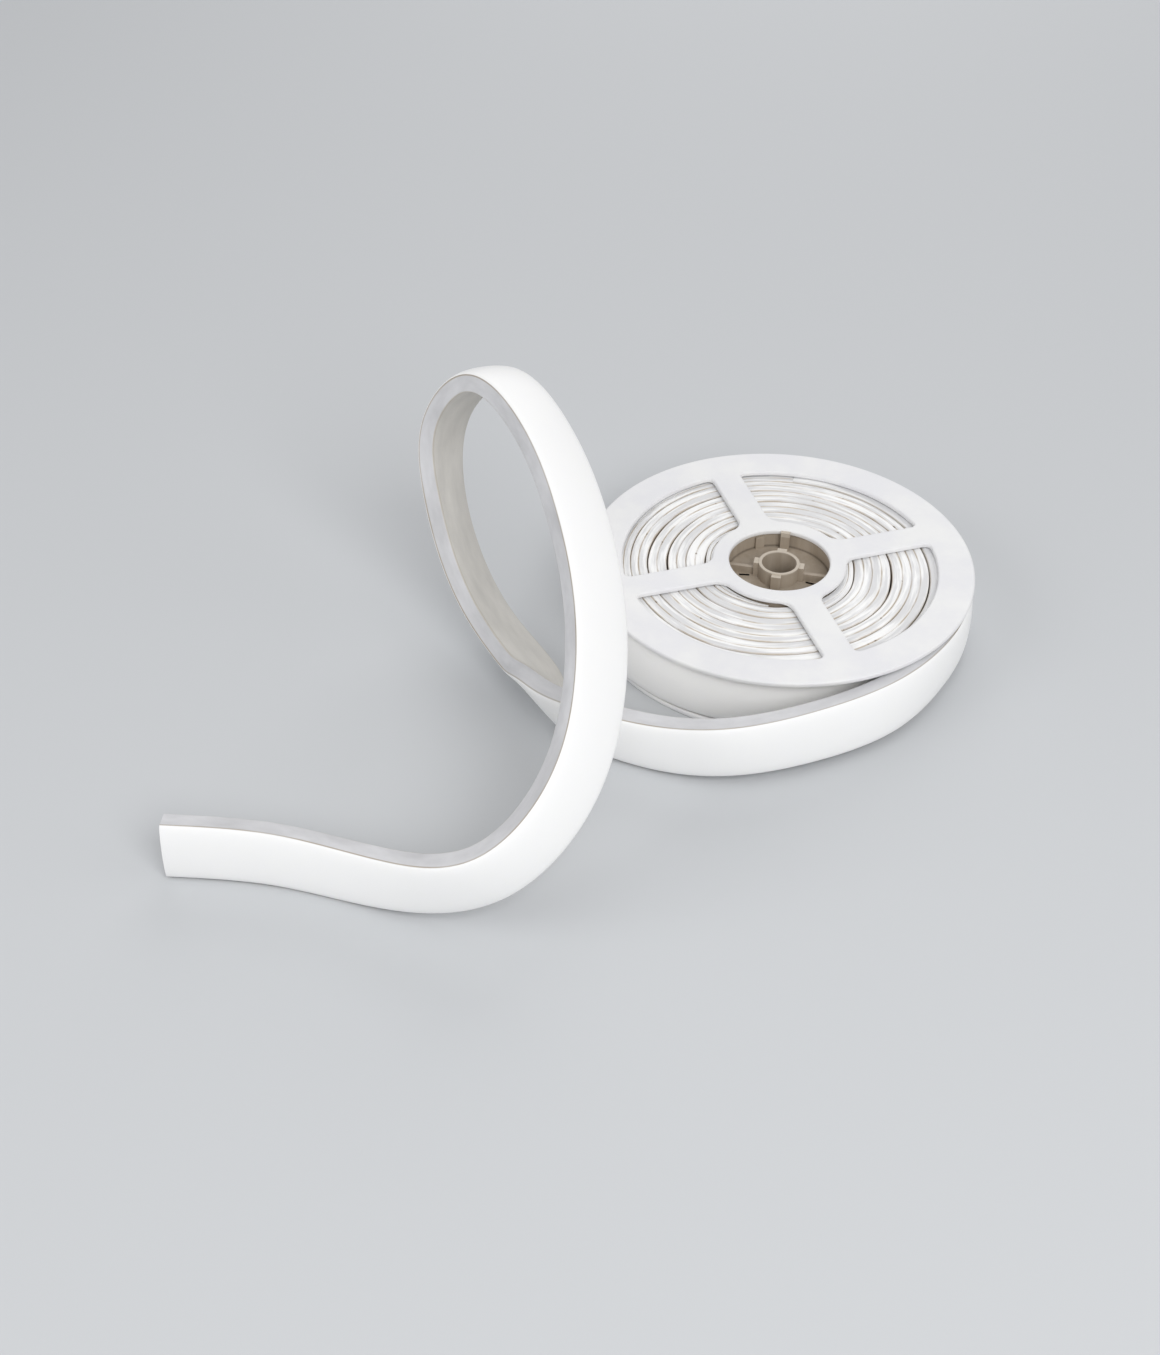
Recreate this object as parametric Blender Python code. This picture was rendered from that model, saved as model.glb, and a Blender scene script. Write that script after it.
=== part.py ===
# LED strip light: a flat silicone strip wound on a plastic reel, its outer end unwound in a loop.
# Metres, +Z up. The reel lies flat, and the unwound strip stands on its edge on the same floor.
import math

import bmesh
import bpy
import numpy as np
from mathutils import Matrix, Vector

MM = 0.001
FIT_GAP = 0.3 * MM

# Strip section: a flat back, two side bands and a domed diffuser
STRIP_WIDTH = 22.0 * MM
SIDE_BAND = 6.2 * MM
DOME_HEIGHT = 2.0 * MM
BACK_CHAMFER = 0.6 * MM
DOME_STEPS = 6
STRIP_STEP = 6.0 * MM

# Winding: whole turns wound on the barrel, each as thick as the strip
WOUND_TURNS = 4
TURN_GROOVE_DEPTH = 0.9 * MM
TURN_GROOVE_WIDTH = 1.4 * MM

# Reel flanges
FLANGE_THICKNESS = 2.2 * MM
FLANGE_RADIUS = 75.0 * MM
BASE_FLANGE_RADIUS = 72.5 * MM
FLANGE_HOLE_RADIUS = 19.5 * MM
FLANGE_EDGE = 0.5 * MM
WINDOW_COUNT = 4
WINDOW_INNER_RADIUS = 26.0 * MM
WINDOW_OUTER_RADIUS = 61.0 * MM
WINDOW_CORNER = 4.0 * MM
SPOKE_WIDTH = 12.0 * MM
SPOKE_TURN = math.radians(17.0)
WINDOW_INNER_STEPS = 8
WINDOW_OUTER_STEPS = 16

# Hub: a barrel between the flanges, with a sunken floor and a spindle boss
BARREL_RADIUS = 24.7 * MM
BARREL_WALL = 4.4 * MM
WELL_DEPTH = 8.0 * MM
WELL_FLOOR = 2.0 * MM
SPINDLE_RADIUS = 6.75 * MM
BOSS_WALL = 1.2 * MM
BOSS_DROP = 1.5 * MM
LUG_COUNT = 4
LUG_LENGTH = 1.8 * MM
LUG_WIDTH = 3.7 * MM
LUG_TURN = math.radians(78.0)
RIB_WIDTH = 1.6 * MM
RIB_HEIGHT = 3.0 * MM
SLOT_WIDTH = 1.2 * MM
SLOT_LENGTH = 4.0 * MM
SLOT_START = 3.2 * MM
CLIP_WIDTH = 3.6 * MM
CLIP_THICKNESS = 1.6 * MM
PILASTER_DEPTH = 1.2 * MM
PILASTER_TURN = math.radians(30.0)

ROUND_STEPS = 96
HUB_STEPS = 64
CORNER_STEPS = 4
SAME_PLACE = 0.01 * MM
SHARP_ANGLE = math.radians(30.0)

STRIP_THICKNESS = SIDE_BAND + DOME_HEIGHT
REEL_HEIGHT = 2 * FLANGE_THICKNESS + STRIP_WIDTH + 2 * FIT_GAP
TOP_FLANGE_Z = REEL_HEIGHT - FLANGE_THICKNESS
WINDING_Z = FLANGE_THICKNESS + FIT_GAP
WINDING_INNER = BARREL_RADIUS + FIT_GAP
WINDING_OUTER = WINDING_INNER + WOUND_TURNS * STRIP_THICKNESS
WELL_RADIUS = BARREL_RADIUS - BARREL_WALL
WELL_FLOOR_Z = REEL_HEIGHT - WELL_DEPTH
BOSS_RADIUS = SPINDLE_RADIUS + BOSS_WALL

# Last turn, in whole degrees round the reel: it starts on the winding, comes away from it,
# climbs over its own start and leaves the reel
LAST_TURN_START = 440
LAST_TURN_AWAY = 360
LAST_TURN_OVER = 200
LAST_TURN_END = -4
LAST_TURN_STEP = 12

# From there to the cut end the strip lies free. Each row is a point on its middle line,
# in millimetres from the reel's axis and the floor, and the way its width points there,
# from the edge that shows to the edge that stands on the floor.
FREE_ROUTE = [
    ((68, -23, 13.5), (0, 0, -1)),
    ((57, -46, 13.6), (0, 0, -1)),
    ((37, -69, 13.6), (0.05, -0.1, -1)),
    ((8, -86, 14), (0.05, -0.1, -1)),
    ((-27, -96, 14.5), (0.05, 0, -1)),
    ((-60, -88, 12.5), (0.1, 0.1, -1)),
    ((-87, -73, 15), (0.3, 0.35, -0.9)),
    ((-94, -53, 11), (0.5, 0.7, -0.55)),
    ((-111, -25, 15.5), (0.6, 0.6, -0.55)),
    ((-130, 7, 54), (0.4, 0.75, -0.5)),
    ((-128, 14, 82), (0.55, 0.8, -0.25)),
    ((-113, 7, 102.5), (0.7, 0.65, -0.25)),
    ((-92, -22, 101.5), (0.75, 0.55, -0.35)),
    ((-79, -53, 88), (0.8, 0.45, -0.4)),
    ((-72, -85, 72), (0.8, 0.3, -0.5)),
    ((-72, -118, 57), (0.75, 0.2, -0.65)),
    ((-82, -149, 40), (0.6, 0.15, -0.8)),
    ((-105, -167, 24), (0.4, 0.1, -0.9)),
    ((-140, -160, 13), (0.1, -0.05, -1)),
    ((-177, -148, 11.5), (0, -0.1, -1)),
    ((-215, -144, 11.5), (0, -0.1, -1)),
]


def clear_scene():
    for thing in list(bpy.data.objects):
        bpy.data.objects.remove(thing, do_unlink=True)


def plastic(name, color, roughness):
    material = bpy.data.materials.new(name)
    material.use_nodes = True
    shader = material.node_tree.nodes["Principled BSDF"]
    shader.inputs["Base Color"].default_value = (*color, 1.0)
    shader.inputs["Roughness"].default_value = roughness
    shader.inputs["Metallic"].default_value = 0.0
    return material


def add_object(name, mesh_data, material, parent, height=0.0):
    mesh = bpy.data.meshes.new(name)
    bmesh.ops.recalc_face_normals(mesh_data, faces=mesh_data.faces)
    mesh_data.to_mesh(mesh)
    mesh_data.free()
    thing = bpy.data.objects.new(name, mesh)
    bpy.context.scene.collection.objects.link(thing)
    if material:
        mesh.materials.append(material)
    mesh.shade_smooth()
    mesh.set_sharp_from_angle(angle=SHARP_ANGLE)
    thing.parent = parent
    thing.location.z = height
    return thing


def boolean(target, cutter, operation="DIFFERENCE"):
    cutter.hide_render = True
    cutter.display_type = "WIRE"
    cut = target.modifiers.new(cutter.name, "BOOLEAN")
    cut.operation = operation
    cut.solver = "EXACT"
    cut.object = cutter


def turned(profile, steps):
    """A closed ring turned round +Z from a closed outline of (radius, height) points."""
    ring = bmesh.new()
    points = [ring.verts.new((radius, 0, height)) for radius, height in profile]
    edges = [ring.edges.new((points[i - 1], points[i])) for i in range(len(points))]
    bmesh.ops.spin(
        ring,
        geom=points + edges,
        axis=(0, 0, 1),
        cent=(0, 0, 0),
        angle=2 * math.pi,
        steps=steps,
        use_merge=True,
    )
    return ring


def raised_outline(outline, low, high):
    """A prism that stands on an outline of (x, y) points, from low to high."""
    prism = bmesh.new()
    base = prism.faces.new([prism.verts.new((x, y, low)) for x, y in outline])
    top = bmesh.ops.extrude_face_region(prism, geom=[base])
    raised = [item for item in top["geom"] if isinstance(item, bmesh.types.BMVert)]
    bmesh.ops.translate(prism, verts=raised, vec=(0, 0, high - low))
    return prism


def joined(parts):
    """Several prisms, kept as separate shells of one cutter."""
    whole = bmesh.new()
    for part in parts:
        mesh = bpy.data.meshes.new("part")
        bmesh.ops.recalc_face_normals(part, faces=part.faces)
        part.to_mesh(mesh)
        part.free()
        whole.from_mesh(mesh)
        bpy.data.meshes.remove(mesh)
    return whole


def block(length, width, low, high, radius, angle):
    """A radial block: it starts at radius and runs outwards along angle."""
    outline = [
        (radius, -width / 2),
        (radius + length, -width / 2),
        (radius + length, width / 2),
        (radius, width / 2),
    ]
    prism = raised_outline(outline, low, high)
    bmesh.ops.rotate(prism, verts=prism.verts, matrix=Matrix.Rotation(angle, 3, "Z"))
    return prism


def arc(radius, start, end, steps):
    return [
        (
            radius * math.cos(start + (end - start) * i / steps),
            radius * math.sin(start + (end - start) * i / steps),
        )
        for i in range(steps + 1)
    ]


def window(middle):
    """One window between two spokes, with filleted corners."""
    quarter = math.pi / WINDOW_COUNT
    inner = quarter - math.asin(SPOKE_WIDTH / 2 / WINDOW_INNER_RADIUS)
    outer = quarter - math.asin(SPOKE_WIDTH / 2 / WINDOW_OUTER_RADIUS)
    inner_side = arc(WINDOW_INNER_RADIUS, -inner, inner, WINDOW_INNER_STEPS)
    outer_side = arc(WINDOW_OUTER_RADIUS, outer, -outer, WINDOW_OUTER_STEPS)
    prism = raised_outline(inner_side + outer_side, -FLANGE_THICKNESS, 2 * FLANGE_THICKNESS)
    corners = [Vector(side[end]) for side in (inner_side, outer_side) for end in (0, -1)]
    uprights = [
        edge
        for edge in prism.edges
        if abs(edge.verts[0].co.z - edge.verts[1].co.z) > FLANGE_THICKNESS
        and any((edge.verts[0].co.xy - corner).length < SAME_PLACE for corner in corners)
    ]
    bmesh.ops.bevel(
        prism,
        geom=uprights,
        offset=WINDOW_CORNER,
        segments=CORNER_STEPS,
        profile=0.5,
        affect="EDGES",
        clamp_overlap=True,
    )
    bmesh.ops.rotate(prism, verts=prism.verts, matrix=Matrix.Rotation(middle, 3, "Z"))
    return prism


def flange_ring(radius):
    """A flat ring with eased edges, from height 0 to the flange's thickness."""
    inner, outer, top, ease = FLANGE_HOLE_RADIUS, radius, FLANGE_THICKNESS, FLANGE_EDGE
    profile = [
        (inner + ease, 0),
        (outer - ease, 0),
        (outer, ease),
        (outer, top - ease),
        (outer - ease, top),
        (inner + ease, top),
        (inner, top - ease),
        (inner, ease),
    ]
    return turned(profile, ROUND_STEPS)


def add_flanges(parent, white):
    add_object("bottom_flange", flange_ring(BASE_FLANGE_RADIUS), white, parent)
    top = add_object("top_flange", flange_ring(FLANGE_RADIUS), white, parent, TOP_FLANGE_Z)
    middles = [
        SPOKE_TURN + (2 * i + 1) * math.pi / WINDOW_COUNT for i in range(WINDOW_COUNT)
    ]
    cutter = joined([window(middle) for middle in middles])
    boolean(top, add_object("window_cutter", cutter, None, parent, TOP_FLANGE_Z))


def add_hub(parent, taupe):
    """Barrel, well floor and spindle boss in one moulding, with lugs, ribs, slots and a clip."""
    low = WINDING_Z
    high = REEL_HEIGHT - WINDING_Z
    boss_low, boss_high = BOSS_DROP, REEL_HEIGHT - BOSS_DROP
    profile = [
        (SPINDLE_RADIUS, boss_low),
        (BOSS_RADIUS, boss_low),
        (BOSS_RADIUS, WELL_FLOOR_Z - WELL_FLOOR),
        (WELL_RADIUS, WELL_FLOOR_Z - WELL_FLOOR),
        (WELL_RADIUS, low),
        (BARREL_RADIUS, low),
        (BARREL_RADIUS, high),
        (WELL_RADIUS, high),
        (WELL_RADIUS, WELL_FLOOR_Z),
        (BOSS_RADIUS, WELL_FLOOR_Z),
        (BOSS_RADIUS, boss_high),
        (SPINDLE_RADIUS, boss_high),
    ]
    hub = add_object("hub", turned(profile, HUB_STEPS), taupe, parent)
    bite = BOSS_WALL / 2
    floor_bite = WELL_FLOOR_Z - WELL_FLOOR / 2
    lug_high = boss_high - FIT_GAP
    added = [
        block(
            bite + LUG_LENGTH,
            LUG_WIDTH,
            floor_bite,
            lug_high,
            BOSS_RADIUS - bite,
            LUG_TURN + 2 * math.pi * i / LUG_COUNT,
        )
        for i in range(LUG_COUNT)
    ]
    rib_start = BOSS_RADIUS + LUG_LENGTH - bite
    for side in (1, 3):
        angle = LUG_TURN + 2 * math.pi * side / LUG_COUNT
        added.append(
            block(
                WELL_RADIUS + bite - rib_start,
                RIB_WIDTH,
                floor_bite,
                WELL_FLOOR_Z + RIB_HEIGHT,
                rib_start,
                angle,
            )
        )
    clip_radius = FLANGE_HOLE_RADIUS - FIT_GAP - CLIP_THICKNESS
    clip_foot = WELL_RADIUS + bite - clip_radius
    foot_high = high - FIT_GAP
    added.append(
        block(CLIP_THICKNESS, CLIP_WIDTH, floor_bite, REEL_HEIGHT, clip_radius, LUG_TURN)
    )
    added.append(block(clip_foot, CLIP_WIDTH / 2, floor_bite, foot_high, clip_radius, LUG_TURN))
    added.append(
        block(
            PILASTER_DEPTH + bite,
            CLIP_WIDTH,
            floor_bite,
            foot_high,
            WELL_RADIUS - PILASTER_DEPTH,
            LUG_TURN + PILASTER_TURN,
        )
    )
    for i, part in enumerate(added):
        boolean(hub, add_object(f"hub_adder_{i + 1}", part, None, parent), "UNION")
    slots = []
    slot_start = BOSS_RADIUS + SLOT_START
    for side in (1, 3):
        angle = LUG_TURN + 2 * math.pi * side / LUG_COUNT
        turn = (RIB_WIDTH / 2 + FIT_GAP + SLOT_WIDTH / 2) / slot_start
        for sign in (1, -1):
            slots.append(
                block(
                    SLOT_LENGTH,
                    SLOT_WIDTH,
                    WELL_FLOOR_Z - 2 * WELL_FLOOR,
                    WELL_FLOOR_Z + WELL_FLOOR,
                    slot_start,
                    angle + sign * turn,
                )
            )
    boolean(hub, add_object("slot_cutter", joined(slots), None, parent))


def add_winding(parent, milky):
    """The wound turns as one turned ring, with a groove between turns on both ends."""
    low, high = WINDING_Z, WINDING_Z + STRIP_WIDTH
    half = TURN_GROOVE_WIDTH / 2
    joints = [WINDING_INNER + STRIP_THICKNESS * i for i in range(1, WOUND_TURNS)]
    lower = [(WINDING_INNER, low)]
    upper = [(WINDING_OUTER - DOME_HEIGHT / 2, high)]
    for joint in joints:
        lower += [(joint - half, low), (joint, low + TURN_GROOVE_DEPTH), (joint + half, low)]
    for joint in reversed(joints):
        upper += [(joint + half, high), (joint, high - TURN_GROOVE_DEPTH), (joint - half, high)]
    lower += [(WINDING_OUTER - DOME_HEIGHT / 2, low), (WINDING_OUTER, low + DOME_HEIGHT)]
    upper = [(WINDING_OUTER, high - DOME_HEIGHT)] + upper + [(WINDING_INNER, high)]
    add_object("wound_strip", turned(lower + upper, ROUND_STEPS), milky, parent)


def strip_section():
    """Outline of the strip: x across its width, y from its back to the top of its dome."""
    half = STRIP_WIDTH / 2
    back = -STRIP_THICKNESS / 2
    seam = back + SIDE_BAND
    points = [
        (-half, seam),
        (-half, back + BACK_CHAMFER),
        (-half + BACK_CHAMFER, back),
        (half - BACK_CHAMFER, back),
        (half, back + BACK_CHAMFER),
        (half, seam),
    ]
    for i in range(1, DOME_STEPS):
        angle = math.pi * i / DOME_STEPS
        points.append((half * math.cos(angle), seam + DOME_HEIGHT * math.sin(angle)))
    return points


def spline(rows, places, wanted):
    """Natural cubic spline through rows at places, read at the wanted places."""
    count = len(places)
    step = np.diff(places)
    system = np.eye(count)
    right = np.zeros(rows.shape)
    for i in range(1, count - 1):
        system[i, i - 1 : i + 2] = (step[i - 1], 2 * (step[i - 1] + step[i]), step[i])
        right[i] = 6 * ((rows[i + 1] - rows[i]) / step[i] - (rows[i] - rows[i - 1]) / step[i - 1])
    bend = np.linalg.solve(system, right)
    found = []
    for place in wanted:
        i = min(max(int(np.searchsorted(places, place)) - 1, 0), count - 2)
        a = (places[i + 1] - place) / step[i]
        b = 1 - a
        curve = ((a**3 - a) * bend[i] + (b**3 - b) * bend[i + 1]) * step[i] ** 2 / 6
        found.append(a * rows[i] + b * rows[i + 1] + curve)
    return np.array(found)


def last_turn_point(angle):
    """A point on the middle line of the last turn, at an angle in degrees."""
    climb = (LAST_TURN_AWAY - angle) / (LAST_TURN_AWAY - LAST_TURN_OVER)
    climb = min(max(climb, 0), 1)
    radius = WINDING_OUTER + FIT_GAP + STRIP_THICKNESS / 2
    radius += (STRIP_THICKNESS + FIT_GAP) * climb**2 * (3 - 2 * climb)
    turn = math.radians(angle)
    return (radius * math.cos(turn), radius * math.sin(turn), WINDING_Z + STRIP_WIDTH / 2)


def strip_stations():
    """Frames along the last turn and the free run: columns are width, face, way and place."""
    angles = range(LAST_TURN_START, LAST_TURN_END - 1, -LAST_TURN_STEP)
    last_turn = [last_turn_point(angle) for angle in angles]
    points = np.array(last_turn + [[MM * value for value in place] for place, _ in FREE_ROUTE])
    widths = [(0, 0, -1)] * len(last_turn) + [width for _, width in FREE_ROUTE]
    widths = np.array(widths, float)
    widths /= np.linalg.norm(widths, axis=1)[:, None]
    places = np.concatenate([[0], np.cumsum(np.linalg.norm(np.diff(points, axis=0), axis=1))])
    count = round(places[-1] / STRIP_STEP)
    wanted = np.linspace(0, places[-1], count + 1)
    middles = spline(points, places, wanted)
    across = spline(widths, places, wanted)
    ways = np.gradient(middles, wanted, axis=0)
    stations = []
    for middle, wide, way in zip(middles, across, ways):
        way = Vector(way).normalized()
        wide = Vector(wide)
        wide = (wide - wide.dot(way) * way).normalized()
        face = way.cross(wide)
        reach = (abs(wide.z) * STRIP_WIDTH + abs(face.z) * STRIP_THICKNESS) / 2
        place = Vector((middle[0], middle[1], max(middle[2], reach)))
        frame = Matrix((wide, face, way)).transposed().to_4x4()
        frame.translation = place
        stations.append(frame)
    return stations


def add_free_strip(parent, milky):
    """The last turn and the free run: the section extruded from station to station."""
    stations = strip_stations()
    body = bmesh.new()
    corners = [body.verts.new(stations[0] @ Vector((x, y, 0))) for x, y in strip_section()]
    start = end = body.faces.new(corners)
    for before, after in zip(stations, stations[1:]):
        grown = bmesh.ops.extrude_face_region(body, geom=[end])
        moved = [item for item in grown["geom"] if isinstance(item, bmesh.types.BMVert)]
        bmesh.ops.transform(body, matrix=after @ before.inverted(), verts=moved)
        if end is not start:
            bmesh.ops.delete(body, geom=[end], context="FACES_ONLY")
        end = next(item for item in grown["geom"] if isinstance(item, bmesh.types.BMFace))
    add_object("free_strip", body, milky, parent)


def centre_on_floor(root):
    """Put the middle of the whole object's box over the origin."""
    corners = [
        piece.matrix_world @ Vector(corner)
        for piece in root.children
        if not piece.hide_render
        for corner in piece.bound_box
    ]
    for axis in (0, 1):
        spots = [corner[axis] for corner in corners]
        root.location[axis] = -(min(spots) + max(spots)) / 2


def main():
    clear_scene()
    white = plastic("reel_white", (0.84, 0.84, 0.83), 0.45)
    taupe = plastic("hub_taupe", (0.36, 0.31, 0.26), 0.55)
    milky = plastic("strip_milky", (0.88, 0.88, 0.87), 0.5)
    root = bpy.data.objects.new("strip_light", None)
    bpy.context.scene.collection.objects.link(root)
    add_flanges(root, white)
    add_hub(root, taupe)
    add_winding(root, milky)
    add_free_strip(root, milky)
    bpy.context.view_layer.update()
    centre_on_floor(root)


main()
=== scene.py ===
# Looks for a flat LED strip light wound on a plastic reel, its outer end unwound in a standing loop
import math

import bmesh
import bpy
import numpy as np
from mathutils import Matrix, Vector, noise


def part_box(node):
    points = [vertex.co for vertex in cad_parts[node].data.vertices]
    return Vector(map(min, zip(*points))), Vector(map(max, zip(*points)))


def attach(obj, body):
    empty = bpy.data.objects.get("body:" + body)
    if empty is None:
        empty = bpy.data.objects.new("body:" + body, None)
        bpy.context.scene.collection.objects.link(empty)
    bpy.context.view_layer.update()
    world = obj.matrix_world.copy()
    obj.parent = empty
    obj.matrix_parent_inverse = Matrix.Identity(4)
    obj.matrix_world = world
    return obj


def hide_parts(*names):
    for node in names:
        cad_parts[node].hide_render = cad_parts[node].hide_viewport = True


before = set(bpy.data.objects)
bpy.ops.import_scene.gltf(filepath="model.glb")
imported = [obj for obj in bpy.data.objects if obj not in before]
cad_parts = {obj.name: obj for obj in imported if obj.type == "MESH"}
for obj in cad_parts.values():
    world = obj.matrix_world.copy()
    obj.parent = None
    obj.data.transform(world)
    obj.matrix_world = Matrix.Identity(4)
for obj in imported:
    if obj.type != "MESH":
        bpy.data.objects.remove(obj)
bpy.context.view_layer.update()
mm = 0.001
print("frame loaded:", ", ".join(sorted(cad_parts)))

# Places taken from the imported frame: the reel's axis and the heights of its plates
hubLow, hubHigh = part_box("hub")
topLow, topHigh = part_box("top_flange")
baseLow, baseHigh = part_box("bottom_flange")
windingLow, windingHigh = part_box("wound_strip")
axis = Vector(((hubLow.x + hubHigh.x) / 2, (hubLow.y + hubHigh.y) / 2, 0))
topRadius = (topHigh.x - topLow.x) / 2
baseRadius = (baseHigh.x - baseLow.x) / 2
barrelRadius = (hubHigh.x - hubLow.x) / 2
windingMiddle = (windingLow.z + windingHigh.z) / 2
windingOuter = (windingHigh.x - windingLow.x) / 2 / mm

# Camera and stage

eye = {
    "place": (-76.9, -589.5, 458.5),  # mm from the reel's axis and the floor
    "down": 39.85,  # degrees below the horizon
    "roll": 0.51,
    "lens": 50,
}

lights = {
    # place from the object's middle, size and power in metres and watts
    "key": ((0.40, -0.93, 0.95), 0.9, 9.9),
    "left": ((-1.1, -0.45, 0.75), 1.0, 5.3),
    "right": ((1.1, -0.25, 0.6), 0.9, 1.4),
    "back": ((0.2, 1.2, 0.8), 1.1, 5),
    "sky": 0.465,
    "floor": (0.56, 0.575, 0.59),
}


def addCamera():
    data = bpy.data.cameras.new("camera")
    data.lens = eye["lens"]
    data.sensor_width = 36
    data.clip_start = 0.02
    camera = bpy.data.objects.new("camera", data)
    bpy.context.scene.collection.objects.link(camera)
    tilt = Matrix.Rotation(math.radians(90 - eye["down"]), 4, "X")
    roll = Matrix.Rotation(math.radians(eye["roll"]), 4, "Z")
    spot = axis + Vector(eye["place"]) * mm
    camera.matrix_world = Matrix.Translation(spot) @ tilt @ roll
    bpy.context.scene.camera = camera


def addLight(name, place, size, power):
    data = bpy.data.lights.new(name, "AREA")
    data.shape = "DISK"
    data.size = size
    data.energy = power
    light = bpy.data.objects.new(name, data)
    bpy.context.scene.collection.objects.link(light)
    spot = Vector(place)
    light.matrix_world = Matrix.Translation(spot) @ spot.to_track_quat("Z", "Y").to_matrix().to_4x4()


def addStage():
    world = bpy.data.worlds.new("studio")
    bpy.context.scene.world = world
    world.use_nodes = True
    sky = world.node_tree.nodes["Background"]
    sky.inputs["Color"].default_value = (0.985, 0.985, 1.0, 1)
    sky.inputs["Strength"].default_value = lights["sky"]
    for name in ("key", "left", "right", "back"):
        addLight(name, *lights[name])
    body = bmesh.new()
    bmesh.ops.create_circle(body, cap_ends=True, segments=96, radius=6)
    floor = makeObject("floor", body, [paintFloor()])
    bpy.context.scene.view_settings.view_transform = "Standard"


# Shader maths: a Wire is one output socket, and sums on wires add Math nodes

class Wire:
    def __init__(self, paint, socket):
        self.paint = paint
        self.socket = socket

    def __add__(self, other):
        return self.paint.maths("ADD", self, other)

    def __sub__(self, other):
        return self.paint.maths("SUBTRACT", self, other)

    def __rsub__(self, other):
        return self.paint.maths("SUBTRACT", other, self)

    def __mul__(self, other):
        return self.paint.maths("MULTIPLY", self, other)

    def __truediv__(self, other):
        return self.paint.maths("DIVIDE", self, other)

    def __gt__(self, other):
        return self.paint.maths("GREATER_THAN", self, other)

    def __lt__(self, other):
        return self.paint.maths("LESS_THAN", self, other)

    def __abs__(self):
        return self.paint.maths("ABSOLUTE", self)

    __radd__ = __add__
    __rmul__ = __mul__


class Paint:
    # one material: its node tree, its Principled shader and the few ways to add nodes
    def __init__(self, name, **constants):
        self.material = bpy.data.materials.new(name)
        self.material.use_nodes = True
        self.tree = self.material.node_tree
        self.shader = self.tree.nodes["Principled BSDF"]
        for socket, value in constants.items():
            self.shader.inputs[socket.replace("_", " ")].default_value = value

    def node(self, kind, settings=None, inputs=None, out=0):
        made = self.tree.nodes.new(kind)
        for name, value in (settings or {}).items():
            if name == "stops":
                ramp = made.color_ramp
                while len(ramp.elements) < len(value):
                    ramp.elements.new(1)
                for element, (spot, color) in zip(ramp.elements, value):
                    element.position = spot
                    element.color = (*color, 1)
            else:
                setattr(made, name, value)
        for name, value in (inputs or {}).items():
            if isinstance(value, Wire):
                self.tree.links.new(value.socket, made.inputs[name])
            else:
                made.inputs[name].default_value = value
        return Wire(self, made.outputs[out])

    def maths(self, operation, *values):
        settings = {"operation": operation}
        return self.node("ShaderNodeMath", settings, dict(enumerate(values)))

    def clamp(self, value):
        return self.node("ShaderNodeClamp", None, {"Value": value})

    def soften(self, value, low, high):
        # 0 below low, 1 above high, smooth between
        settings = {"interpolation_type": "SMOOTHSTEP"}
        inputs = {"Value": value, "From Min": low, "From Max": high}
        return self.node("ShaderNodeMapRange", settings, inputs)

    def mix(self, factor, first, second):
        def color(value):
            return value if isinstance(value, Wire) else (*value, 1)

        inputs = {0: factor, 6: color(first), 7: color(second)}
        return self.node("ShaderNodeMix", {"data_type": "RGBA"}, inputs, out=2)

    def place(self, attribute=None):
        # where the surface is: in its own lengthwise frame, or in the object's
        if attribute:
            return self.node("ShaderNodeAttribute", {"attribute_name": attribute}, out="Vector")
        return self.node("ShaderNodeTexCoord", out="Object")

    def stretched(self, place, scale):
        inputs = {0: place, 1: scale}
        return self.node("ShaderNodeVectorMath", {"operation": "MULTIPLY"}, inputs)

    def parts(self, place):
        split = self.tree.nodes.new("ShaderNodeSeparateXYZ")
        self.tree.links.new(place.socket, split.inputs[0])
        return [Wire(self, output) for output in split.outputs]

    def cloud(self, place, scale, detail=3, rough=0.5):
        inputs = {"Vector": place, "Scale": scale, "Detail": detail, "Roughness": rough}
        return self.node("ShaderNodeTexNoise", None, inputs, out="Fac")

    def bump(self, height, strength, distance):
        inputs = {"Height": height, "Strength": strength, "Distance": distance}
        return self.node("ShaderNodeBump", None, inputs)

    def finish(self, **links):
        for socket, wire in links.items():
            self.tree.links.new(wire.socket, self.shader.inputs[socket.replace("_", " ")])
        return self.material


def paintFloor():
    paint = Paint("floor_paint", Roughness=0.75)
    grain = paint.cloud(paint.place(), 4, detail=2)
    color = lights["floor"]
    return paint.finish(Base_Color=paint.mix(grain * 0.15, color, [0.94 * c for c in color]))


# The finishes

silicone = {
    "dome": (0.90, 0.90, 0.895),
    "band": (0.64, 0.64, 0.655),
    "back": (0.68, 0.66, 0.62),
    "seam": (0.40, 0.35, 0.29),
    # the wound turns, which show their edges in the windows
    "milk": (0.93, 0.93, 0.92),
    "haze": (0.68, 0.68, 0.685),
    # painted shade of the gaps between turns with a tan tint, and the seam lines
    "line": (0.55, 0.48, 0.39),
    "spot": (0.24, 0.19, 0.14),
    # painted shade, for the sides of a turn down in the gaps between turns
    "deep": (0.44, 0.37, 0.30),
    # metres along the last turn: how far it shows in the windows, and lies between the flanges
    "windows": 0.17,
    "flanges": 0.44,
}


def siliconePaint(name):
    # stripPlace holds metres along the strip, across it from the middle, and up from its back
    paint = Paint(
        name,
        Roughness=0.46,
        Subsurface_Weight=0.12,
        Subsurface_Radius=(0.004, 0.004, 0.0035),
        Subsurface_Scale=1.0,
        Specular_IOR_Level=0.35,
    )
    place = paint.place("stripPlace")
    return paint, place, paint.parts(place)


def shaded(color, share):
    return [share * part for part in color]


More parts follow.
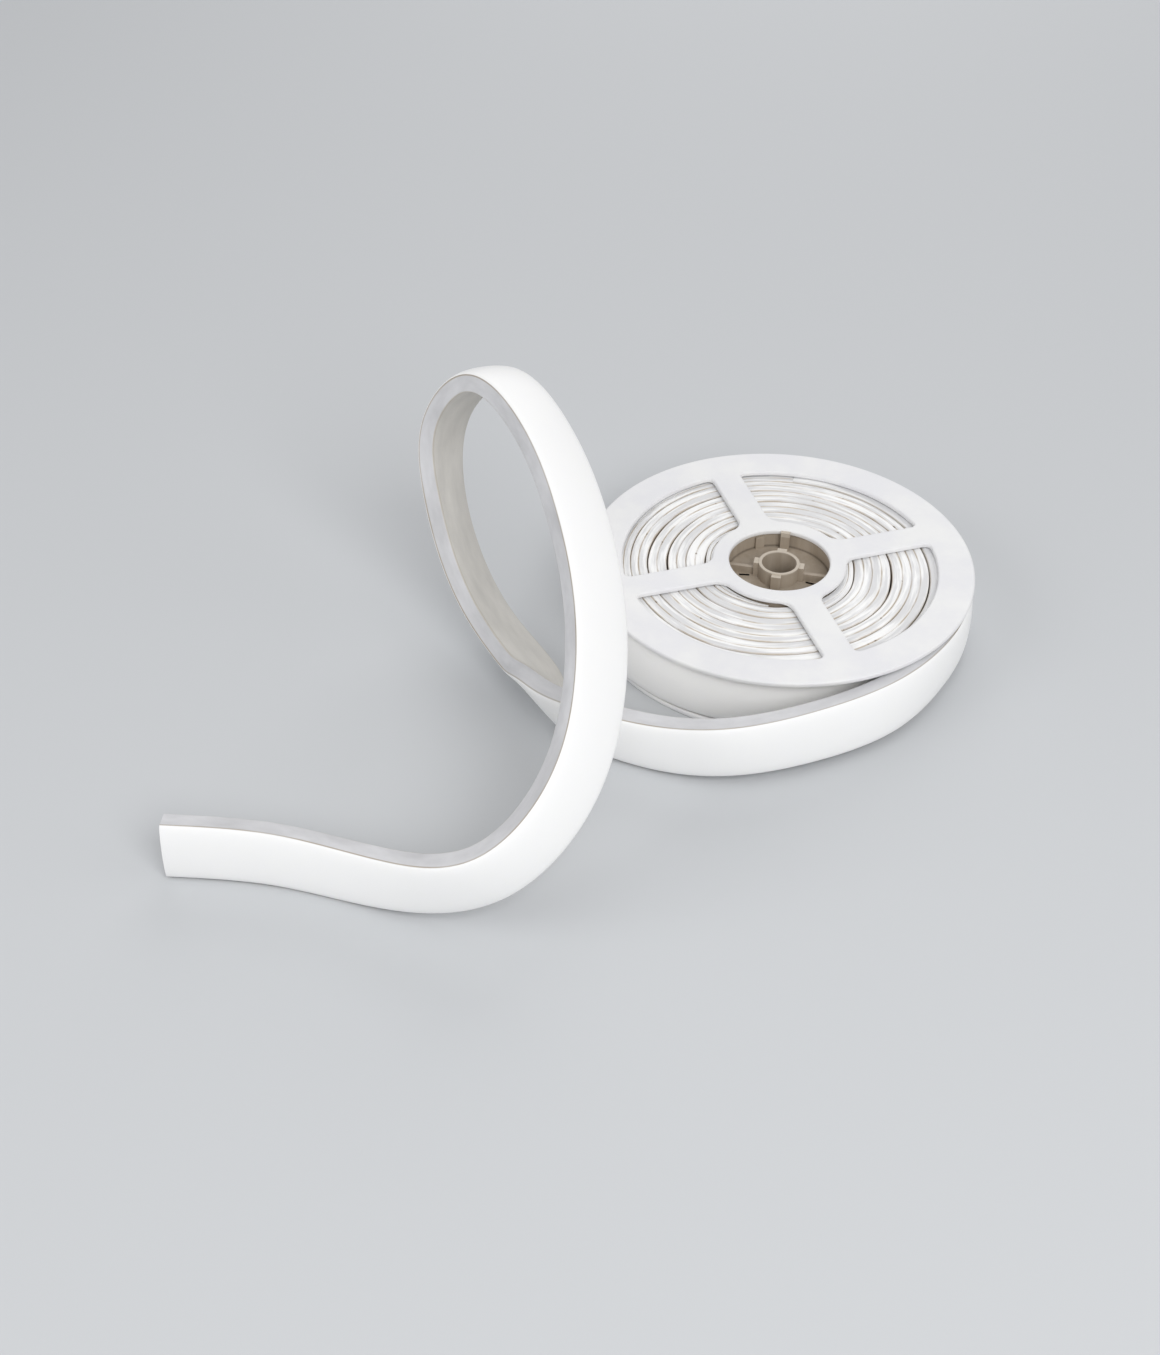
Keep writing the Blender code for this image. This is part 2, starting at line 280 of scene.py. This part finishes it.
def paintRun():
    paint, place, (along, across, deep) = siliconePaint("run_silicone")
    blotch = paint.cloud(paint.stretched(place, (0.35, 1, 1)), 90, detail=4, rough=0.6)
    streak = paint.cloud(paint.stretched(place, (0.08, 1, 1)), 420, detail=3)
    fine = paint.cloud(place, 1400, detail=2)
    domeMask = paint.soften(deep, strip["band"] * mm, (strip["band"] + 0.25) * mm)
    backMask = 1 - paint.soften(deep, 0.15 * mm, 0.5 * mm)
    seamMask = 1 - paint.soften(abs(deep - strip["band"] * mm), 0.16 * mm, 0.36 * mm)
    dome = paint.mix(blotch * 0.3, silicone["dome"], shaded(silicone["dome"], 0.95))
    mottle = paint.clamp((blotch - 0.35) * 2.4)
    band = paint.mix(mottle, shaded(silicone["band"], 0.8), shaded(silicone["band"], 1.12))
    pressed = paint.mix(paint.soften(streak, 0.4, 0.65), silicone["haze"], silicone["milk"])
    # painted shade with a tan tint along the band's back edge, where the turn lies against the winding
    edgeTintAndShade = 1 - paint.soften(deep, 0.12 * mm, 0.5 * mm)
    pressed = paint.mix(edgeTintAndShade * 0.6, pressed, silicone["line"])
    seen = silicone["windows"]
    band = paint.mix(paint.soften(along, seen - 0.03, seen + 0.03), pressed, band)
    back = paint.mix(mottle, shaded(silicone["back"], 0.84), shaded(silicone["back"], 1.06))
    side = strip["width"] / 2 * mm
    edge = paint.soften(abs(across), side - 1.0 * mm, side - 0.5 * mm)
    back = paint.mix(edge * (0.2 + streak * 0.5), back, silicone["seam"])
    color = paint.mix(backMask, paint.mix(domeMask, band, dome), back)
    worn = paint.soften(streak, 0.38, 0.58)
    color = paint.mix(seamMask * (0.6 + worn * 0.35), color, silicone["seam"])
    # painted shade: the dark gaps between the face and the flanges, darkened along the face's edges
    between = 1 - paint.soften(along, silicone["flanges"] - 0.02, silicone["flanges"] + 0.02)
    gap = domeMask * paint.soften(abs(across), side - 0.75 * mm, side - 0.1 * mm) * between
    color = paint.mix(gap * 0.8, color, shaded(silicone["seam"], 0.6))
    return paint.finish(
        Base_Color=color,
        Roughness=0.40 + blotch * 0.14,
        Normal=paint.bump(fine * 0.25 + streak * 0.5, 0.12, 0.0004),
    )


def paintWound():
    paint, place, (along, across, deep) = siliconePaint("wound_silicone")
    thick = turnThickness()
    streak = paint.cloud(paint.stretched(place, (0.07, 1, 1)), 480, detail=4, rough=0.6)
    blotch = paint.cloud(paint.stretched(place, (0.3, 1, 1)), 130, detail=3)
    fade = paint.cloud(paint.stretched(place, (1, 0, 0.5)), 75, detail=2)
    speck = paint.cloud(paint.stretched(place, (1, 0, 0.6)), 260, detail=1)
    # thin lines follow both faces of a turn and its seam, and fade in and out; on the faces they are painted
    # shade of the gaps between turns with a tan tint, on the seam the seam's own line
    seam = abs(deep - coil["seamAt"] * thick * mm)
    outer = thick * mm - deep
    nearest = paint.maths("MINIMUM", paint.maths("MINIMUM", deep, outer), seam)
    line = 1 - paint.soften(nearest, 0.12 * mm, 0.55 * mm)
    color = paint.mix(paint.soften(streak + blotch * 0.3, 0.55, 0.78), silicone["haze"], silicone["milk"])
    color = paint.mix(line * (0.2 + paint.soften(fade, 0.38, 0.6) * 0.7), color, silicone["line"])
    color = paint.mix(line * paint.soften(speck, 0.68, 0.74), color, silicone["spot"])
    # painted shade: below its top edge a turn's sides are darker, where they sink into the gaps between turns
    top = coil["width"] / 2 * mm
    gapShade = 1 - paint.soften(abs(across), top - 0.8 * mm, top - 0.3 * mm)
    color = paint.mix(gapShade, color, silicone["deep"])
    return paint.finish(
        Base_Color=color,
        Roughness=0.36 + blotch * 0.2,
        Normal=paint.bump(streak, 0.25, 0.0005),
    )


def paintReel():
    paint = Paint("reel_paint", Specular_IOR_Level=0.4, Coat_Weight=0.0)
    place = paint.place()
    cloudy = paint.cloud(place, 55, detail=4, rough=0.55)
    fine = paint.cloud(place, 900, detail=3)
    color = paint.mix(paint.soften(cloudy, 0.3, 0.7), (0.75, 0.75, 0.77), (0.81, 0.81, 0.805))
    return paint.finish(
        Base_Color=color,
        Roughness=0.42 + cloudy * 0.16,
        Normal=paint.bump(fine * 0.6 + cloudy, 0.10, 0.0006),
    )


hubTones = {
    "base": (0.34, 0.28, 0.215),
    "light": (0.42, 0.36, 0.29),
    # painted highlight, for the lit top faces of boss, lugs and clip
    "edge": (0.53, 0.47, 0.39),
    # painted shade: near black, for the slots below the well's floor
    "slotShadow": (0.012, 0.010, 0.009),
    "floor": 19.0,  # mm, the height of the well's floor
    "well": 20.3,  # mm, its radius
    "rims": 25.2,  # mm, above this only the boss, the lugs and the clip reach
}


def paintHub():
    paint = Paint("hub_paint", Specular_IOR_Level=0.4)
    settings = {"operation": "SUBTRACT"}
    place = paint.node("ShaderNodeVectorMath", settings, {0: paint.place(), 1: axis})
    x, y, z = paint.parts(place)
    radius = paint.maths("SQRT", x * x + y * y)
    cloudy = paint.cloud(place, 160, detail=4)
    upright = paint.cloud(paint.stretched(place, (1, 1, 0.08)), 330, detail=3)
    fine = paint.cloud(paint.stretched(place, (1, 1, 0.15)), 1500, detail=2)
    color = paint.mix(cloudy * 0.5 + paint.soften(upright, 0.35, 0.65) * 0.5, hubTones["base"], hubTones["light"])
    # painted shade: a dark line where the floor meets the wall; painted highlight: the pale top edges of boss,
    # lugs and clip
    floor, well = hubTones["floor"] * mm, hubTones["well"] * mm
    low = 1 - paint.soften(z, floor + 0.1 * mm, floor + 0.9 * mm)
    corner = low * paint.soften(radius, well - 1.1 * mm, well - 0.2 * mm) * (radius < well + 1 * mm)
    color = paint.mix(corner * 0.55, color, shaded(hubTones["base"], 0.35))
    # painted shade: the slots below the well's floor are coloured near black
    slotShade = (z < floor - 0.15 * mm) * (radius < well - 0.1 * mm) * (radius > 8.4 * mm)
    color = paint.mix(slotShade, color, hubTones["slotShadow"])
    # painted highlight: everything above the rims height is paler
    color = paint.mix(paint.soften(z, (hubTones["rims"] - 0.15) * mm, hubTones["rims"] * mm) * 0.8, color, hubTones["edge"])
    return paint.finish(
        Base_Color=color,
        Roughness=0.45 + cloudy * 0.2,
        Normal=paint.bump(fine + upright * 0.4, 0.18, 0.0004),
    )


# Making meshes

def makeObject(name, body, paints, sharpAbove=35):
    mesh = bpy.data.meshes.new(name)
    body.to_mesh(mesh)
    body.free()
    piece = bpy.data.objects.new(name, mesh)
    bpy.context.scene.collection.objects.link(piece)
    for material in paints:
        mesh.materials.append(material)
    mesh.shade_smooth()
    mesh.set_sharp_from_angle(angle=math.radians(sharpAbove))
    return piece


def onlyVerts(result):
    return [item for item in result["geom"] if isinstance(item, bmesh.types.BMVert)]


def onlyEdges(result):
    return [item for item in result["geom"] if isinstance(item, bmesh.types.BMEdge)]


def curved(corners, roundings, steps=3):
    # an outline of (x, y) corners, each eased by its own radius
    outline = []
    for i, corner in enumerate(corners):
        spot, ease = Vector(corner), roundings[i]
        back = Vector(corners[i - 1]) - spot
        ahead = Vector(corners[(i + 1) % len(corners)]) - spot
        if not ease:
            outline.append(spot)
            continue
        start, end = spot + back.normalized() * ease, spot + ahead.normalized() * ease
        for step in range(steps + 1):
            share = step / steps
            outline.append(start.lerp(spot, share).lerp(spot.lerp(end, share), share))
    return outline


# The strip: one section along the last turn and the unwound run, a pressed one in the winding

strip = {
    "width": 22.0,  # mm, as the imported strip's
    "band": 6.2,
    "dome": 2.0,
    "backEase": 0.7,
    "seamDepth": 0.14,
    "seamHalf": 0.16,
    "domeSteps": 20,
    "step": 2.0,
}

# The last turn, as in the part, in degrees round the reel and mm
lastTurn = {"start": 440, "away": 360, "over": 200, "end": -4, "step": 12, "gap": 0.3}

# The free route from there, as in the part: (point, way across), in mm from the reel's axis
freeRoute = [
    ((68, -23, 13.5), (0, 0, -1)),
    ((57, -46, 13.6), (0, 0, -1)),
    ((37, -69, 13.6), (0.05, -0.1, -1)),
    ((8, -86, 14), (0.05, -0.1, -1)),
    ((-27, -96, 14.5), (0.05, 0, -1)),
    ((-60, -88, 12.5), (0.1, 0.1, -1)),
    ((-87, -73, 15), (0.3, 0.35, -0.9)),
    ((-94, -53, 11), (0.5, 0.7, -0.55)),
    ((-111, -25, 15.5), (0.6, 0.6, -0.55)),
    ((-130, 7, 54), (0.4, 0.75, -0.5)),
    ((-128, 14, 82), (0.55, 0.8, -0.25)),
    ((-113, 7, 102.5), (0.7, 0.65, -0.25)),
    ((-92, -22, 101.5), (0.75, 0.55, -0.35)),
    ((-79, -53, 88), (0.8, 0.45, -0.4)),
    ((-72, -85, 72), (0.8, 0.3, -0.5)),
    ((-72, -118, 57), (0.75, 0.2, -0.65)),
    ((-82, -149, 40), (0.6, 0.15, -0.8)),
    ((-105, -167, 24), (0.4, 0.1, -0.9)),
    ((-140, -160, 13), (0.1, -0.05, -1)),
    ((-177, -148, 11.5), (0, -0.1, -1)),
    ((-215, -144, 11.5), (0, -0.1, -1)),
]

coil = {
    "pitch": 7.25,  # mm from turn to turn, drawn tight
    "width": 21.7,
    "ease": 0.55,
    "gap": 0.28,
    "gapSwing": 0.16,
    "waver": 0.35,
    "seamAt": 0.52,
    "seamDepth": 0.28,
    "seamHalf": 0.2,
    "reach": 63.0,  # the windows show nothing beyond this radius
    "standOff": 1.4,
    "lift": 0.2,
    "tilt": 1.4,  # degrees
    "degrees": 3,
    "thinnest": 0.6,
    "seed": 7,
}


def turnThickness():
    return coil["pitch"] - coil["gap"]


def stripSection():
    # x across the width, y up from the middle of the thickness
    half = strip["width"] / 2
    back = -(strip["band"] + strip["dome"]) / 2
    seam = back + strip["band"]
    ease, lip, cut = strip["backEase"], strip["seamHalf"], strip["seamDepth"]
    corners = [(-half, seam - lip), (-half, back), (half, back), (half, seam - lip)]
    outline = [tuple(spot) for spot in curved(corners, [0, ease, ease, 0], 4)]
    outline += [(half - cut, seam), (half, seam + lip)]
    steps = strip["domeSteps"]
    for i in range(1, steps):
        turn = math.pi * i / steps
        outline.append((half * math.cos(turn), seam + lip + (strip["dome"] - lip) * math.sin(turn)))
    outline += [(-half, seam + lip), (-half + cut, seam)]
    return outline


def pressedSection():
    # a turn squeezed flat between its neighbours, with a seam on each edge
    half, back = coil["width"] / 2, -turnThickness() / 2
    seam = back + coil["seamAt"] * turnThickness()
    ease, lip, cut = coil["ease"], coil["seamHalf"], coil["seamDepth"]
    corners = [(-half, back), (half, back), (half, -back), (-half, -back)]
    outline = [tuple(spot) for spot in curved(corners, [ease] * 4, 4)]
    right = [(half, seam - lip), (half - cut, seam), (half, seam + lip)]
    left = [(-x, y) for x, y in reversed(right)]
    return outline[:10] + right + outline[10:] + left


def sweep(outline, stations, distances):
    # the section drawn from station to station, with its own place kept on every vertex
    body = bmesh.new()
    layer = body.verts.layers.float_vector.new("stripPlace")
    lowest = min(y for _, y in outline)
    ring = []
    for x, y in outline:
        vert = body.verts.new(stations[0] @ Vector((x * mm, y * mm, 0)))
        vert[layer] = Vector((distances[0], x * mm, (y - lowest) * mm))
        ring.append(vert)
    edges = [body.edges.new((ring[i - 1], ring[i])) for i in range(len(ring))]
    caps = [list(edges)]
    for before, after, distance in zip(stations, stations[1:], distances[1:]):
        grown = bmesh.ops.extrude_edge_only(body, edges=edges)
        moved = onlyVerts(grown)
        bmesh.ops.transform(body, matrix=after @ before.inverted(), verts=moved)
        for vert in moved:
            vert[layer] = Vector((distance, *vert[layer].yz))
        fresh = set(moved)
        edges = [edge for edge in onlyEdges(grown) if set(edge.verts) <= fresh]
    caps.append(edges)
    for rim in caps:
        bmesh.ops.edgeloop_fill(body, edges=rim)
    bmesh.ops.recalc_face_normals(body, faces=body.faces)
    return body


def station(place, wide, way, share=1.0):
    # columns: across the width, out through the face, along the strip
    way = way.normalized()
    wide = (wide - wide.dot(way) * way).normalized()
    face = way.cross(wide)
    matrix = Matrix((wide, face * share, way)).transposed().to_4x4()
    matrix.translation = place
    return matrix


def spline(rows, places, wanted):
    # natural cubic spline through rows at places, read at the wanted places
    count = len(places)
    gap = np.diff(places)
    system = np.eye(count)
    right = np.zeros(rows.shape)
    for i in range(1, count - 1):
        system[i, i - 1 : i + 2] = (gap[i - 1], 2 * (gap[i - 1] + gap[i]), gap[i])
        right[i] = 6 * ((rows[i + 1] - rows[i]) / gap[i] - (rows[i] - rows[i - 1]) / gap[i - 1])
    bend = np.linalg.solve(system, right)
    index = np.clip(np.searchsorted(places, wanted) - 1, 0, count - 2)
    a = ((places[index + 1] - wanted) / gap[index])[:, None]
    b = 1 - a
    curve = ((a**3 - a) * bend[index] + (b**3 - b) * bend[index + 1]) * gap[index][:, None] ** 2
    return a * rows[index] + b * rows[index + 1] + curve / 6


def eased(share):
    share = min(max(share, 0), 1)
    return share**2 * (3 - 2 * share)


def lastTurnPoint(angle):
    climb = eased((lastTurn["away"] - angle) / (lastTurn["away"] - lastTurn["over"]))
    thick = strip["band"] + strip["dome"]
    radius = windingOuter + lastTurn["gap"] + thick / 2 + (thick + lastTurn["gap"]) * climb
    turn = math.radians(angle)
    return (radius * math.cos(turn), radius * math.sin(turn), windingMiddle / mm)


def freeStations():
    angles = range(lastTurn["start"], lastTurn["end"] - 1, -lastTurn["step"])
    turn = [lastTurnPoint(angle) for angle in angles]
    points = np.array(turn + [spot for spot, _ in freeRoute]) * mm
    widths = np.array([(0, 0, -1)] * len(turn) + [wide for _, wide in freeRoute], float)
    widths /= np.linalg.norm(widths, axis=1)[:, None]
    places = np.concatenate([[0], np.cumsum(np.linalg.norm(np.diff(points, axis=0), axis=1))])
    wanted = np.linspace(0, places[-1], round(places[-1] / (strip["step"] * mm)) + 1)
    middles = spline(points, places, wanted)
    ways = np.gradient(middles, wanted, axis=0)
    half = strip["width"] / 2 * mm
    thick = (strip["band"] + strip["dome"]) / 2 * mm
    stations = []
    for spot, wide, way in zip(middles, spline(widths, places, wanted), ways):
        made = station(Vector(spot), Vector(wide), Vector(way))
        reach = abs(made[2][0]) * half + abs(made[2][1]) * thick
        made.translation.z = max(spot[2], reach)
        made.translation += axis
        stations.append(made)
    return stations, wanted


def sway(angle, size, track):
    # smooth chance along the winding, from -size to size, one track for each use of it
    turn = math.radians(angle)
    spot = Vector((1.5 * math.cos(turn) + 9 * track, 1.5 * math.sin(turn), angle / 400 + coil["seed"]))
    return size * max(-1, min(1, 2 * noise.noise(spot)))


def turnStart(angle):
    # the radius where the turn at this angle starts: circles that climb on their way outwards
    lap, past = divmod(angle - lastTurn["over"], 360)
    climb = eased(1 - past / (lastTurn["away"] - lastTurn["over"]))
    first = windingOuter + lastTurn["gap"] / 2
    if lap < 1:
        rise = climb if lap == 0 else 1
        first += (strip["band"] + strip["dome"] + lastTurn["gap"]) * rise
    else:
        first -= coil["pitch"] * (lap - climb)
    settled = min(1, max(0, angle - lastTurn["start"]) / 60)
    return first + sway(angle, coil["waver"], 0) * settled


def turnGap(angle):
    return max(0.08, coil["gap"] + sway(angle, coil["gapSwing"], 1))


def windingStations():
    inmost = lastTurn["start"] + 360 * math.ceil((windingOuter - barrelRadius / mm) / coil["pitch"])
    stations, distances, gone, last = [], [], 0, None
    angles = list(range(inmost + 360, lastTurn["start"], -coil["degrees"])) + [lastTurn["start"] + 0.2]
    for angle in angles:
        turn = math.radians(angle)
        front = max(0, -math.sin(turn)) ** 3
        floor = barrelRadius / mm + 0.3 + coil["standOff"] * front
        inner = max(floor, turnStart(angle) + turnGap(angle) / 2)
        outer = min(coil["reach"], turnStart(angle - 360)) - turnGap(angle - 360) / 2
        if outer - inner < coil["thinnest"]:
            continue
        radius = (inner + outer) / 2
        height = windingMiddle / mm + sway(angle, coil["lift"], 2)
        spot = Vector((radius * math.cos(turn), radius * math.sin(turn), height)) * mm
        way = Vector((math.sin(turn), -math.cos(turn), 0))
        lean = Matrix.Rotation(math.radians(sway(angle, coil["tilt"], 3)), 3, way)
        share = (outer - inner) / turnThickness()
        stations.append(station(spot + axis, lean @ Vector((0, 0, -1)), way, share))
        gone += (spot - last).length if last else 0
        distances.append(gone)
        last = spot
    return stations, distances


def addStrip():
    stations, distances = windingStations()
    winding = makeObject("wound_turns", sweep(pressedSection(), stations, distances), [paintWound()])
    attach(winding, "root")
    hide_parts("wound_strip")
    print("winding:", round(distances[-1], 3), "m of strip")

    stations, distances = freeStations()
    run = makeObject("unwound_run", sweep(stripSection(), stations, distances), [paintRun()])
    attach(run, "root")
    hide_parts("free_strip")


# The reel: two flanges and the hub between them

flange = {
    "hole": 19.5,  # mm
    "edge": 0.75,
    "inner": 26.0,
    "outer": 61.0,
    "spoke": 12.0,
    "turn": 17.0,
    "count": 4,
    "innerCorner": 5.0,
    "outerCorner": 3.0,
    "steps": 192,
}


def arc(radius, start, end, steps):
    return [
        (radius * math.cos(start + (end - start) * i / steps),
         radius * math.sin(start + (end - start) * i / steps))
        for i in range(steps + 1)
    ]


def rounded(corner, start, end):
    # the corner between two sides, eased from start to end
    shares = [i / 6 for i in range(7)]
    return [start.lerp(corner, share).lerp(corner.lerp(end, share), share) for share in shares]


def windowOutline(middle):
    quarter = math.pi / flange["count"]
    half = flange["spoke"] / 2
    inner, outer = flange["inner"], flange["outer"]
    innerHalf = quarter - math.asin(half / inner)
    outerHalf = quarter - math.asin(half / outer)
    points = []
    for radius, reach, ease, sign in (
        (inner, innerHalf, flange["innerCorner"], 1),
        (outer, outerHalf, flange["outerCorner"], -1),
    ):
        back = ease / radius
        side = arc(radius, -sign * (reach - back), sign * (reach - back), 28 if sign < 0 else 10)
        ends = []
        for end in (-1, 1):
            corner = Vector((radius * math.cos(end * reach), radius * math.sin(end * reach)))
            onArc = Vector((radius * math.cos(end * (reach - back)), radius * math.sin(end * (reach - back))))
            line = end * quarter
            along = Vector((math.cos(line), math.sin(line))) * (1 if sign > 0 else -1)
            onSide = corner + along * ease
            ends.append((corner, onArc, onSide))
        if sign < 0:
            ends.reverse()
        corner, onArc, onSide = ends[0]
        points += rounded(corner, onSide, onArc)[:-1]
        points += side
        corner, onArc, onSide = ends[1]
        points += rounded(corner, onArc, onSide)[1:]
    turn = Matrix.Rotation(middle, 2)
    return [turn @ Vector(point) for point in points]


def loopEdges(body, outline, height):
    verts = [body.verts.new((x * mm, y * mm, height)) for x, y in outline]
    return [body.edges.new((verts[i - 1], verts[i])) for i in range(len(verts))]


def plate(name, radius, low, high, windows, node):
    # a flat plate filled between its outlines, thickened, with every rim rounded over
    body = bmesh.new()
    edges = loopEdges(body, arc(radius / mm, 0, 2 * math.pi, flange["steps"])[:-1], low)
    edges += loopEdges(body, arc(flange["hole"], 0, 2 * math.pi, flange["steps"] // 2)[:-1], low)
    for outline in windows:
        edges += loopEdges(body, outline, low)
    bmesh.ops.triangle_fill(body, use_beauty=True, use_dissolve=False, edges=edges)
    grown = bmesh.ops.extrude_face_region(body, geom=body.faces[:])
    bmesh.ops.translate(body, verts=onlyVerts(grown), vec=(0, 0, high - low))
    bmesh.ops.recalc_face_normals(body, faces=body.faces)
    rims = [
        edge for edge in body.edges
        if len(edge.link_faces) == 2 and edge.calc_face_angle() > math.radians(60)
    ]
    bmesh.ops.bevel(
        body, geom=rims, offset=flange["edge"] * mm, offset_type="OFFSET", segments=3,
        profile=0.5, affect="EDGES", material=-1,
    )
    bmesh.ops.translate(body, verts=body.verts, vec=axis)
    for face in body.faces:
        if abs(face.normal.z) > 0.999:
            for edge in face.edges:
                if any(abs(other.normal.z) < 0.999 for other in edge.link_faces):
                    edge.smooth = False
    mesh = bpy.data.meshes.new(name)
    body.to_mesh(mesh)
    body.free()
    piece = bpy.data.objects.new(name, mesh)
    bpy.context.scene.collection.objects.link(piece)
    mesh.materials.append(paintReel())
    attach(piece, "root")
    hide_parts(node)
    return piece


def addFlanges():
    turn = math.radians(flange["turn"])
    middles = [turn + (2 * i + 1) * math.pi / flange["count"] for i in range(flange["count"])]
    outlines = [windowOutline(middle) for middle in middles]
    plate("top_plate", topRadius, topLow.z, topHigh.z, outlines, "top_flange")
    plate("bottom_plate", baseRadius, baseLow.z, baseHigh.z, [], "bottom_flange")
    print("flanges done")


def addHub():
    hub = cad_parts["hub"]
    hub.data.materials.clear()
    hub.data.materials.append(paintHub())
    print("hub done")


addCamera()
addStage()
addStrip()
addFlanges()
addHub()
